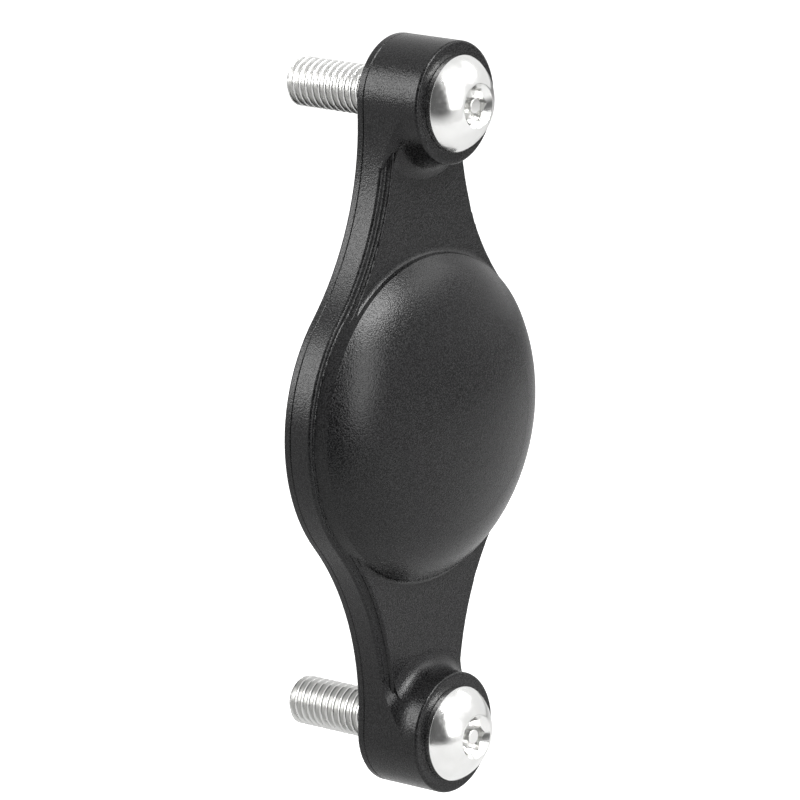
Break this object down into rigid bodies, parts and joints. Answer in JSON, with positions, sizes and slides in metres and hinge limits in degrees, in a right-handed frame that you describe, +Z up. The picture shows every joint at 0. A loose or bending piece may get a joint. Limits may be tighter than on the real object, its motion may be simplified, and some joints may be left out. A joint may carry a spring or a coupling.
{
  "type": "bike tracker mount",
  "caption": "Slim moulded holder that hides a coin-shaped tracker under a round dome and bolts to a bicycle frame's bottle-cage bosses with security screws.",
  "frame": {"origin": "centre of the rear mounting face, midway between the two screws", "axes": "+Z up along the row of the two screws, +Y rearward into the bicycle frame along the screws, +X across the width"},
  "size_m": [0.0348, 0.0228, 0.0764],
  "materials": {
    "body_plastic": "fine moulded grain, near black",
    "seal_rubber": "smooth black rubber",
    "screw_steel": "polished stainless steel"
  },
  "bodies": {
    "housing": {"front_housing": "body_plastic", "seal_ring": "seal_rubber"},
    "rear_cover": {"rear_cover": "body_plastic"},
    "upper_screw": {"upper_screw": "screw_steel"},
    "lower_screw": {"lower_screw": "screw_steel"}
  },
  "joints": [
    {"name": "cover_slide", "type": "slide", "parent": "housing", "child": "rear_cover", "axis": [0, 1, 0], "range_m": [0, 0.018]},
    {"name": "upper_screw_turn", "type": "hinge", "parent": "housing", "child": "upper_screw", "pos_m": [0, 0, 0.032], "axis": [0, 1, 0], "continuous": true},
    {"name": "lower_screw_turn", "type": "hinge", "parent": "housing", "child": "lower_screw", "pos_m": [0, 0, -0.032], "axis": [0, 1, 0], "continuous": true}
  ]
}
